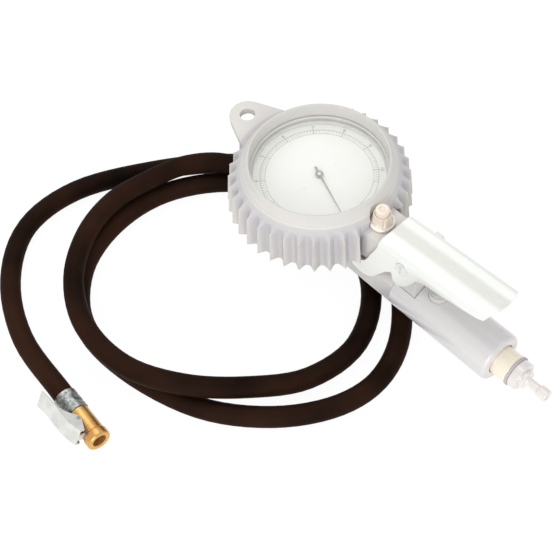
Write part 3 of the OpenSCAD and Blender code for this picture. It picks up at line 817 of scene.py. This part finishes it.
@dataclass
class Studio:
    """Camera, lamps and the pale floor."""

    eye: Point = (159.8, -299.3, 582.3)
    azimuth: float = 51.1
    elevation: float = 55.53
    roll: float = -4.86
    lens: float = 82.62
    lamp_size: float = 420.0
    sky: float = 0.84
    paper: float = 0.9
    glow: float = 1.045
    glow_share: float = 0.9

    def build(self) -> None:
        """Makes the camera, the floor, the lamps and the world."""
        self._camera()
        self._floor()
        self._lamp("key", (-420, 60, 620), 0.8)
        self._lamp("fill", (260, -560, 260), 1.9)
        self._world()
        bpy.context.scene.view_settings.view_transform = "Standard"

    def _camera(self) -> None:
        """Sets the camera at the viewing angle."""
        data = bpy.data.cameras.new("camera")
        data.lens = self.lens
        data.sensor_width = 36
        camera = added("camera", data)
        turn = spin(self.azimuth, "Z") @ spin(90 - self.elevation, "X") @ spin(self.roll, "Z")
        camera.matrix_world = Matrix.Translation(Vector(self.eye) * MM) @ turn
        bpy.context.scene.camera = camera

    def _floor(self) -> None:
        """Lays a wide white floor that shows as paper white and keeps a soft shadow."""
        clear_selection()
        bpy.ops.mesh.primitive_plane_add(size=8, location=(GAUGE_X * MM, -0.08, (FLOOR - 0.05) * MM))
        floor = settle(fresh("floor"))
        material = bpy.data.materials.new("floor paper")
        material.use_nodes = True
        graph = Graph(material.node_tree)
        nodes = graph.tree.nodes
        nodes.remove(nodes["Principled BSDF"])
        paper = graph.add("BsdfDiffuse", {"Color": (self.paper, self.paper, self.paper, 1)})
        glow = graph.add("Emission", {"Color": (1, 1, 1, 1), "Strength": self.glow})
        seen = graph.add("LightPath")
        either = graph.add("Math", {0: seen.outputs["Is Camera Ray"], 1: seen.outputs["Is Glossy Ray"]},
                           operation="MAXIMUM")
        share = graph.add("Math", {0: either.outputs["Value"], 1: self.glow_share}, operation="MULTIPLY")
        mix = graph.add("MixShader", {"Fac": share.outputs["Value"], 1: paper.outputs["BSDF"],
                                      2: glow.outputs["Emission"]})
        graph.tree.links.new(mix.outputs["Shader"], nodes["Material Output"].inputs["Surface"])
        floor.data.materials.append(material)

    def _lamp(self, name: str, at: Point, watts: float) -> None:
        """Adds a square soft lamp that looks at the tool.

        Args:
            name: the lamp's name.
            at: its place in millimetres.
            watts: its power.
        """
        data = bpy.data.lights.new(name, "AREA")
        data.size = self.lamp_size * MM
        data.energy = watts
        lamp = added(name, data)
        lamp.location = Vector(at) * MM
        aim = Vector((GAUGE_X, -40, 0)) * MM - lamp.location
        lamp.rotation_euler = aim.to_track_quat("-Z", "Y").to_euler()

    def _world(self) -> None:
        """Surrounds the scene with an even white sky."""
        world = bpy.data.worlds.new("sky")
        world.use_nodes = True
        background = world.node_tree.nodes["Background"]
        background.inputs["Color"].default_value = (1, 1, 1, 1)
        background.inputs["Strength"].default_value = self.sky
        bpy.context.scene.world = world


# --- gauge


@dataclass
class Boot:
    """The ribbed rubber boot with its lip, hang lug and neck."""

    bore: float = 41.35
    valley: float = 47.9
    rib: float = 4.3
    rib_ends: Pair = (15.0, 163.0)
    taper: float = 0.955
    taper_top: float = 42.0
    ribs: int = 38
    columns: int = 8
    base: float = 15.0
    floor: float = 17.0
    mouth: float = 29.1
    neck_half: float = 11.5
    neck_end: float = 57.9
    neck_top: float = 36.2
    lug_reach: float = 59.0
    lug_radius: float = 10.4
    lug_hole: float = 4.5
    lug_top: float = 37.8
    lug_low: float = 33.5

    def build(self) -> None:
        """Models the boot as one piece."""
        boot = self._wall()
        lug, neck = self._lug(), self._neck()
        cut(boot, [neck, lug], "UNION")
        cut(boot, self._hollows())
        round_edges(boot, 0.2, 50, 1)
        smooth(boot, 24, weighted=True)
        place(boot, gauge_place())
        boot.name = "rubber_boot"
        dress(boot, BOOT_RUBBER)
        stand_for(boot, "boot")

    def _radius(self, z: float) -> float:
        """How wide the valleys are at a height, with the wall's taper."""
        share = (z - self.base) / (self.taper_top - self.base)
        return self.valley * (1 - (1 - self.taper) * max(0.0, min(share, 1.0)))

    def _is_ribbed(self, place_at: Vector) -> bool:
        """Says whether a place round the wall carries ribs: not at the neck, nor at the lug."""
        angle = math.degrees(math.atan2(place_at.y, place_at.x))
        return self.rib_ends[0] < abs(angle) < self.rib_ends[1]

    def _wall(self) -> Piece:
        """Turns the cup's wall and raises its ribs.

        Returns:
            The wall as a closed mesh.
        """
        start = (self.mouth, self.base)
        outline = [start, (self.valley - 0.5, self.base), (self._radius(15.6), 15.6),
                   (self._radius(26), 26.0), (self._radius(36.6), 36.6), (self._radius(38), 38.0),
                   (self._radius(40), 39.6), (44.6, 41.6), (43.7, 42.4), (43.2, 43.2), (43.05, 44.0),
                   (42.6, 44.9), (41.4, 46.2), (40.6, 47.4), (40.0, 48.5), (39.3, 49.0), (38.7, 48.9),
                   (38.45, 48.3), (38.4, 41.4), (38.6, 40.6), (39.6, 40.45), (self.bore, 40.45),
                   (self.bore, self.floor - 0.2), (self.mouth, self.floor - 0.2), start]
        shape = spun("boot_wall", outline, self.ribs * self.columns)
        crests = {15.0: 1.0, 15.6: 1.0, 26.0: 1.0, 36.6: 1.0, 38.0: 0.62, 39.6: 0.3}
        flanks = {0: 1.0, 1: 0.62, 2: 0.24}
        near, least = 0.05, 43.6
        for z, height in crests.items():
            wide = self._radius(z)
            shares = {step: 1 + self.rib * share * height / wide for step, share in flanks.items()}
            flute(shape, self.ribs, self.columns, shares, z - near, z + near, least, self._is_ribbed)
        return shape.done()

    def _lug(self) -> Piece:
        """The lug's plate, with the hole left for later."""
        end = arc((-self.lug_reach, 0), self.lug_radius, 250, 110, 6)
        outline = [(-43.0, -18.2), *end, (-43.0, 18.2)]
        return slab("boot_lug", outline, self.lug_low, self.lug_top)

    def _neck(self) -> Piece:
        """The block that wraps the valve body's pillar."""
        return block("boot_neck", (42.5, -self.neck_half, self.base + 0.05),
                     (self.neck_end, self.neck_half, self.neck_top))

    def _hollows(self) -> list[Piece]:
        """Makes the tools that cut the hang hole, the pillar's room and the lever's pockets.

        Returns:
            The tools.
        """
        hole = drum("hang_hole", self.lug_hole, self.lug_low - 5, self.lug_top + 5, (-self.lug_reach, 0))
        pillar = block("pillar_room", (40.3, -7.8, self.base - 2), (56.3, 7.8, 33.3))
        button = (BUTTON_REACH, 0)
        seat = drum("valve_seat", 5.0, 30, 40, button)
        relief = drum("flange_room", 7.5, self.neck_top, self.neck_top + 3, button)
        upper = drum("knob_room", 6.8, self.neck_top + 0.5, 60, button)
        pockets = [block("pocket", (38.9, low, self.base - 2), (60, high, 33))
                   for low, high in ((11.6, 15.7), (-15.7, -11.6))]
        return [hole, pillar, seat, relief, upper, *pockets]


@dataclass
class Dial:
    """The dial's print, the needle and the window."""

    face: float = 34.2
    inner: float = 30.2
    outer: float = 33.0
    numbers_at: float = 34.9
    first: float = -142.0
    step: float = 30.0
    count: int = 10
    ink: float = 0.06
    needle_z: float = 35.2
    needle_turn: float = -20.3

    def build(self, frame: dict) -> None:
        """Prints the dial and dresses the gauge's nodes.

        Args:
            frame: the loaded frame.
        """
        marks = [self._band(self.inner, 0.2), self._band(self.outer, 0.2), *self._ticks()]
        scale = join("dial_scale", marks)
        self._finish(scale)
        self._finish(join("dial_numbers", self._numbers()))
        self._needle()
        dress_nodes(frame, DIAL_WHITE, "dial_plate", "dial_screws")
        dress_nodes(frame, GASKET_PALE, "window_gasket")
        dress_nodes(frame, WINDOW_GLASS, "window")
        dress_nodes(frame, BEZEL_COAT, "bezel_ring", "gauge_case")

    def _finish(self, obj: Piece) -> None:
        """Places, inks and hangs one print on the tool.

        Args:
            obj: the print, drawn round the gauge's axis.
        """
        place(obj, gauge_place())
        dress(obj, DIAL_INK)
        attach(obj, BODY)

    def _direction(self, degrees: float) -> Pair:
        """Unit step on the dial for an angle clockwise from the lug's side."""
        turn = math.radians(degrees)
        return -math.cos(turn), math.sin(turn)

    def _band(self, radius: float, width: float) -> Piece:
        """Makes a thin printed ring round the scale.

        Args:
            radius: its middle radius.
            width: how wide it is.

        Returns:
            The ring.
        """
        low, high = self.face + 0.01, self.face + self.ink
        near, far = radius - width / 2, radius + width / 2
        return turned("scale_ring", [(near, low), (far, low), (far, high), (near, high), (near, low)], 128)

    def _ticks(self) -> list[Piece]:
        """Makes the scale's strokes: long ones at the numbers, short ones between.

        Returns:
            The strokes.
        """
        ticks = []
        total = (self.count - 1) * 10 + 6
        for index in range(-3, total):
            angle = self.first + index * self.step / 10
            long_one = index % 10 == 0
            half = index % 5 == 0
            reach = 3.4 if long_one else 2.6 if half else 1.8
            width = 0.34 if long_one else 0.2
            start = self.outer - reach + (0.6 if long_one else 0)
            stroke = block("tick", (start, -width / 2, self.face + 0.01),
                           (start + reach, width / 2, self.face + self.ink))
            x, y = self._direction(angle)
            place(stroke, Matrix.Rotation(math.atan2(y, x), 4, "Z"))
            ticks.append(stroke)
        return ticks

    def _numbers(self) -> list[Piece]:
        """Makes the numbers round the scale, each standing outwards.

        Returns:
            The numbers.
        """
        numbers = []
        for index in range(self.count):
            x, y = self._direction(self.first + index * self.step)
            clear_selection()
            bpy.ops.object.text_add()
            text = bpy.context.object
            text.data.body = str(index + 1)
            text.data.size = 3.2 * MM
            text.data.align_x = "CENTER"
            text.data.align_y = "CENTER"
            text.data.extrude = 0.02 * MM
            text.data.resolution_u = 3
            bpy.ops.object.convert(target="MESH")
            text = bpy.context.object
            at = Vector((x, y, 0)) * self.numbers_at + Vector((0, 0, self.face + 0.04))
            turn = Matrix.Rotation(math.atan2(y, x) - math.radians(90), 4, "Z")
            numbers.append(place(text, Matrix.Translation(at * MM) @ turn))
        return numbers

    def _needle(self) -> None:
        """The needle: a ring hub, a slim blade and a short tail."""
        low = self.needle_z
        hub = turned("needle_hub", [(0.82, low), (2.1, low), (2.3, low + 0.25), (2.1, low + 0.6),
                                    (1.5, low + 0.75), (0.82, low + 0.6), (0.82, low)], 48)
        blade = slab("needle_blade", [(-5.4, -0.75), (-1.5, -0.45), (1.8, -0.4), (28.8, -0.14), (29.4, 0),
                                      (28.8, 0.14), (1.8, 0.4), (-1.5, 0.45), (-5.4, 0.75)],
                     low + 0.1, low + 0.5)
        cut(blade, [drum("needle_hole", 0.82, low - 1, low + 2)])
        needle = join("gauge_needle", [hub, blade])
        place(needle, gauge_place() @ spin(self.needle_turn, "Z"))
        smooth(needle)
        dress(needle, NEEDLE_PAINT)
        stand_for(needle, "needle", "needle")


# --- lever


@dataclass
class Lever:
    """The folded sheet lever: an arched web with two cheeks cut to shape."""

    half: float = 13.65
    sheet: float = 1.25
    shoulder: float = 5.0
    foot: float = 60.0
    start: float = 58.0
    crest: float = 41.0
    rise: float = 4.73

    def build(self) -> None:
        """Folds, cuts and rounds the lever."""
        lever = self._channel()
        cut(lever, [self._cheek_tool(), self._plan_tool()], "INTERSECT")
        pivot = drum("pivot_hole", 2.55, -20, 20)
        place(pivot, shift(PIVOT_REACH, 0, PIVOT_Z) @ spin(90, "X"))
        cut(lever, [pivot])
        round_edges(lever, 0.35, 40, 3)
        smooth(lever, 40, weighted=True)
        place(lever, gauge_place())
        lever.name = "pressed_lever"
        dress(lever, LEVER_PLATE)
        stand_for(lever, "lever", "lever")

    def _section(self, inset: float) -> list[Pair]:
        """The channel's outline across the lever: (across, down) from the crest.

        Args:
            inset: how far inside the outer face the outline runs.

        Returns:
            Points from one foot over the crest to the other.
        """
        half, radius = self.half - inset, self.shoulder - inset
        flat = half - radius
        left = arc((-flat, -self.shoulder), radius, 180, 100, 10)
        right = arc((flat, -self.shoulder), radius, 80, 0, 10)
        return [(-half, -self.foot), *left, *right, (half, -self.foot)]

    def _channel(self) -> Piece:
        """Extrudes the channel along the lever.

        Returns:
            The channel.
        """
        outline = [*self._section(0), *reversed(self._section(self.sheet))]
        bar = slab("lever_channel", outline, -30, 110)
        for vertex in bar.data.vertices:
            across, down, along = vertex.co
            vertex.co = (along, across, down)
        place(bar, shift(self.start, 0, self.crest) @ spin(-self.rise, "Y"))
        edit_all()
        turn_out()
        return bar

    def _cheek_tool(self) -> Piece:
        """Makes a plate with the cheeks' outline, seen from the side.

        Returns:
            The plate.
        """
        outline = [(39.2, 3.6), (40.6, 8.0), (41.6, 10.4), (44.2, 12.2), (47.2, 13.8), (49.4, 16.2),
                   (51.2, 20.2), (53.2, 25.4), (55.6, 30.4), (58.1, 36.6), (58.1, 70), (140, 70),
                   (140, 46.9), (128, 43.7), (116, 41.3), (103, 38.7), (92, 36.7), (86.3, 34.1),
                   (84.4, 30.6), (82.4, 26.7), (80.2, 23.2), (77.7, 20.1), (75.6, 18.2), (73.4, 17.1),
                   (71.4, 17.3), (70.0, 18.7), (69.4, 21.2), (69.0, 24.0), (67.6, 23.6), (64.4, 20.4),
                   (61.8, 16.6), (59.2, 12.6), (56.2, 8.0), (52.6, 4.2), (48.4, 2.2), (45.6, 1.9)]
        return place(slab("cheek_tool", outline, -30, 30), spin(90, "X"))

    def _plan_tool(self) -> Piece:
        """The outline of the lever, seen from above, with its clipped free end."""
        outline = [(30, -25), (124.5, -25), (124.5, -13.7), (130.6, -12.6), (133.2, -5.5), (134, 1.5),
                   (133.6, 8.5), (130.6, 14.7), (129.5, 25), (30, 25)]
        return slab("plan_tool", outline, -20, 80)


# --- handle, valve and fittings


def fit(obj: Piece, at: Matrix, finish: Finish, node: str, body: str = BODY) -> Piece:
    """Places a finished piece over the node that it replaces.

    Args:
        obj: the piece, drawn on its own axis.
        at: where that axis lies.
        finish: its finish.
        node: the node it replaces.
        body: the body it moves with.

    Returns:
        The piece.
    """
    place(obj, at)
    smooth(obj, weighted=True)
    dress(obj, finish)
    return stand_for(obj, node, body)


@dataclass
class Grip:
    """The glossy round grip with its rounded rim."""

    radius: float = 14.25
    bore: float = 12.0
    start: float = 68.0
    end: float = 137.0

    def build(self) -> None:
        """Turns the grip and cuts its slot and holes."""
        r, e = self.radius, self.end
        outline = [(self.bore, self.start), (r - 0.5, self.start), (r, self.start + 0.5), (r, e - 2.6),
                   (r - 0.1, e - 1.7), (r - 0.4, e - 0.9), (r - 0.9, e - 0.35), (r - 1.5, e - 0.05),
                   (r - 2.1, e), (9.6, e), (9.1, e - 0.2), (8.85, e - 0.7), (8.85, e - 3.9),
                   (self.bore, e - 3.9), (self.bore, self.start)]
        grip = turned("round_grip", outline)
        place(grip, handle_place())
        slot = block("post_slot", (68.7, -9.8, 0), (83.3, 9.8, 20))
        above = drum("bush_hole", 6.15, 0, 20, (BUSH_REACH, 0))
        below = drum("plug_hole", 5.35, -20, 0, (BUSH_REACH, 0))
        cut(grip, [slot, above, below])
        round_edges(grip, 0.25, 50)
        fit(grip, gauge_place(), GRIP_PLASTIC, "grip")


@dataclass
class DeflateValve:
    """The fluted brass bush and the button that stands in it."""

    base: float = 36.6
    flutes: int = 10
    columns: int = 8

    def build(self) -> None:
        """Models the bush and the button."""
        z = self.base
        at = shift(GAUGE_X + BUTTON_REACH)
        outline = [(1.6, z - 5.6), (4.55, z - 5.6), (4.55, z), (6.9, z), (7.15, z + 0.3), (7.15, z + 1.2),
                   (6.8, z + 1.6), (6.1, z + 1.8), (5.8, z + 2.4), (5.65, z + 3.0), (5.3, z + 5.2),
                   (5.0, z + 7.6), (4.85, z + 8.25), (4.5, z + 8.4), (4.1, z + 8.2), (4.1, z + 1.1),
                   (1.6, z + 1.1), (1.6, z - 5.6)]
        shape = spun("deflate_cone", outline, self.flutes * self.columns)
        flute(shape, self.flutes, self.columns, {0: 0.87, 1: 0.92}, z + 2.9, z + 7.7, 4.9)
        fit(shape.done(), at, PALE_BRASS, "deflate_bush")
        cap = turned("deflate_cap", [
            (1.4, z - 3.2), (1.4, z + 6), (3.95, z + 6), (3.95, z + 9.9), (3.65, z + 10.1),
            (3.65, z + 10.4), (3.95, z + 10.6), (3.95, z + 11.2), (3.75, z + 11.7), (3.3, z + 11.95),
            (2.2, z + 11.95), (1.85, z + 11.8), (1.75, z + 11.3)], 64)
        fit(cap, at, PALE_BRASS, "deflate_button", "deflate_button")


@dataclass
class InletFitting:
    """The brass adapter and the plug that takes the air line."""

    start: float = 125.3
    rim: float = 146.5
    collar: float = 152.9
    step: float = 155.4
    nose: float = 163.2

    def build(self) -> None:
        """Turns both pieces."""
        at = gauge_place() @ handle_place()
        s, r, c, p, n = self.start, self.rim, self.collar, self.step, self.nose
        adapter = turned("air_adapter", [
            (4.02, s), (6.45, s), (6.45, s + 7.8), (8.35, s + 7.8), (8.5, s + 8), (8.5, r - 0.7),
            (8.3, r - 0.3), (7.9, r - 0.05), (4.02, r - 0.05), (4.02, s)])
        fit(adapter, at, ADAPTER_BRASS, "inlet_adapter")
        plug = turned("air_plug", [
            (1.4, r - 5.9), (3.96, r - 5.9), (3.96, r + 1.45), (7.9, r + 1.45), (8.2, r + 1.75),
            (8.2, c - 0.7), (7.9, c - 0.25), (7.3, c - 0.05), (5.5, c - 0.05), (5.5, p - 0.6),
            (5.1, p - 0.1), (3.4, p), (2.8, p + 0.3), (2.5, p + 0.9), (2.5, n - 0.5), (2.7, n - 0.1),
            (3.2, n), (3.5, n + 0.35), (3.5, n + 5.0), (3.2, n + 5.5), (2.4, n + 5.6), (1.5, n + 4.7),
            (1.4, n + 4.5), (1.4, r - 5.9)], 64)
        fit(plug, at, PLUG_NICKEL, "inlet_plug")


@dataclass
class TyreConnector:
    """The crimped ferrule, the brass body and the folded clip at the hose's end."""

    ferrule: float = 13.5
    mouth: float = 35.0
    crimps: int = 8
    columns: int = 6
    pin: Pair = (20.0, -5.6)
    clip_half: float = 5.65
    sheet: float = 0.8

    def build(self) -> list[Piece]:
        """Models the three pieces.

        Returns:
            The pieces that hang on the hose.
        """
        return [self._ferrule(), self._body(), self._clip()]

    def _ferrule(self) -> Piece:
        """Turns the ferrule and presses its flats.

        Returns:
            The ferrule.
        """
        e = self.ferrule - 0.05
        outline = [(6.4, 0.05), (6.8, 0.45), (6.8, 3.6), (6.5, 4.1), (6.5, 4.8), (6.8, 5.3), (6.8, 8.6),
                   (6.5, 9.1), (6.5, 9.8), (6.8, 10.3), (6.8, e - 0.5), (6.5, e), (2.65, e), (2.65, 2.1)]
        shape = spun("crimped_ferrule", outline, self.crimps * self.columns)
        flute(shape, self.crimps, self.columns, {0: 0.955, 1: 0.97}, 1.2, e - 1.2, 6.0)
        return fit(shape.done(), chuck_place(), ZINC, "chuck_ferrule")

    def _body(self) -> Piece:
        """Turns the brass body, and cuts the jaw's window and the pin's hole.

        Returns:
            The body.
        """
        f, m = self.ferrule, self.mouth
        body = turned("connector_body", [
            (1.4, 2.6), (2.55, 2.6), (2.55, f + 0.05), (5.9, f + 0.05), (6.3, f + 0.4), (6.3, m - 5.7),
            (6.5, m - 5.2), (6.85, m - 4.8), (6.9, m - 4.3), (6.9, m - 1.1), (6.6, m - 0.4),
            (6.1, m - 0.02), (4.5, m - 0.02), (4.05, m - 0.3), (3.92, m - 0.8), (3.92, 24.55),
            (4.35, 24.55), (4.35, 21.55), (1.4, 21.55), (1.4, 2.6)])
        place(body, handle_place())
        window = block("jaw_window", (27.5, -8.2, -2.3), (29.5, -2.9, 2.3))
        hole = drum("pin_hole", 1.02, -9, 9, self.pin, 24)
        cut(body, [window, hole])
        return fit(body, clip_place(), YELLOW_BRASS, "chuck_body")

    def _clip(self) -> Piece:
        """Folds the clip from its web, two side walls and the jaw.

        Returns:
            The clip.
        """
        h = self.clip_half
        web = [(-3.95, -14.05), (0.5, -13.35), (4.5, -12.9), (9, -12.85), (13.8, -12.95), (18, -12.7),
               (22, -12.15), (25.5, -11.1), (28.75, -9.8), (28.05, -9.25), (25, -10.4), (21.8, -11.35),
               (18, -11.95), (13.8, -12.15), (9, -12.05), (4.5, -12.1), (0.5, -12.55), (-3.95, -13.3)]
        wall = [(15, -8.4), (18.6, -4.4), (21.4, -4.4), (28.6, -7.4), (28.7, -9.7), (22, -12), (18, -12.5),
                (13.8, -12.75), (9, -12.35)]
        clip = slab("folded_clip", web, -h, h)
        walls = [slab("clip_wall", wall, low, low + self.sheet) for low in (-h, h - self.sheet)]
        cut(clip, [*walls, block("clip_jaw", (28.02, -9.8, -1.95), (28.78, -4.1, 1.95))], "UNION")
        cut(clip, [drum("clip_pin_hole", 1.06, -9, 9, self.pin, 24)])
        round_edges(clip, 0.2, 50)
        return fit(clip, clip_place(), CLIP_STEEL, "chuck_clip", "chuck_clip")


# --- order of work


def dress_small_parts(frame: dict) -> None:
    """Gives every carried-over node that is left its own finish.

    Args:
        frame: the loaded frame.
    """
    dress_nodes(frame, BRIGHT_STEEL, "pinion_arbor", "pivot_screw", "pivot_nut", "valve_pin")
    dress_nodes(frame, SMALL_STEEL, "hairspring", "valve_spring", "deflate_spring", "chuck_clip_pin",
                "chuck_clip_spring")
    dress_nodes(frame, YELLOW_BRASS, "sector_gear", "movement_plates", "movement_pillars",
                "bourdon_tube", "tube_tip", "gauge_socket", "outlet_nipple", "chuck_depressor")
    dress_nodes(frame, BODY_COAT, "valve_body", "valve_bush")
    dress_nodes(frame, PALE_BRASS, "valve_plug")
    dress_nodes(frame, ZINC, "outlet_ferrule")
    dress_nodes(frame, BLACK_RUBBER, "stem_washer")
    dress_nodes(frame, SEAL_PALE, "inlet_washer")
    dress_nodes(frame, SEAL_BROWN, "chuck_seal")


def shorten_springs(frame: dict) -> None:
    """Gives each of the two springs its own copy of its mesh.

    Args:
        frame: the loaded frame.
    """
    for node, joint, travel in (("valve_spring", "valve_pin_slide", 2.2),
                                ("deflate_spring", "deflate_press", 2.0)):
        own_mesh(frame["nodes"][node])


def main() -> None:
    """Builds the looks round the frame, piece by piece."""
    logging.basicConfig(level=logging.INFO, format="%(name)s: %(message)s")
    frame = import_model()
    Studio().build()
    hose = Hose()
    hose_piece = hose.build()
    on_hose = [frame["nodes"][n] for n in ("chuck_seal", "chuck_depressor", "chuck_clip_pin",
                                           "chuck_clip_spring", "outlet_ferrule")]
    Boot().build()
    Dial().build(frame)
    Lever().build()
    Grip().build()
    DeflateValve().build()
    InletFitting().build()
    on_hose += TyreConnector().build()
    dress_small_parts(frame)
    shorten_springs(frame)


if __name__ == "__main__":
    main()
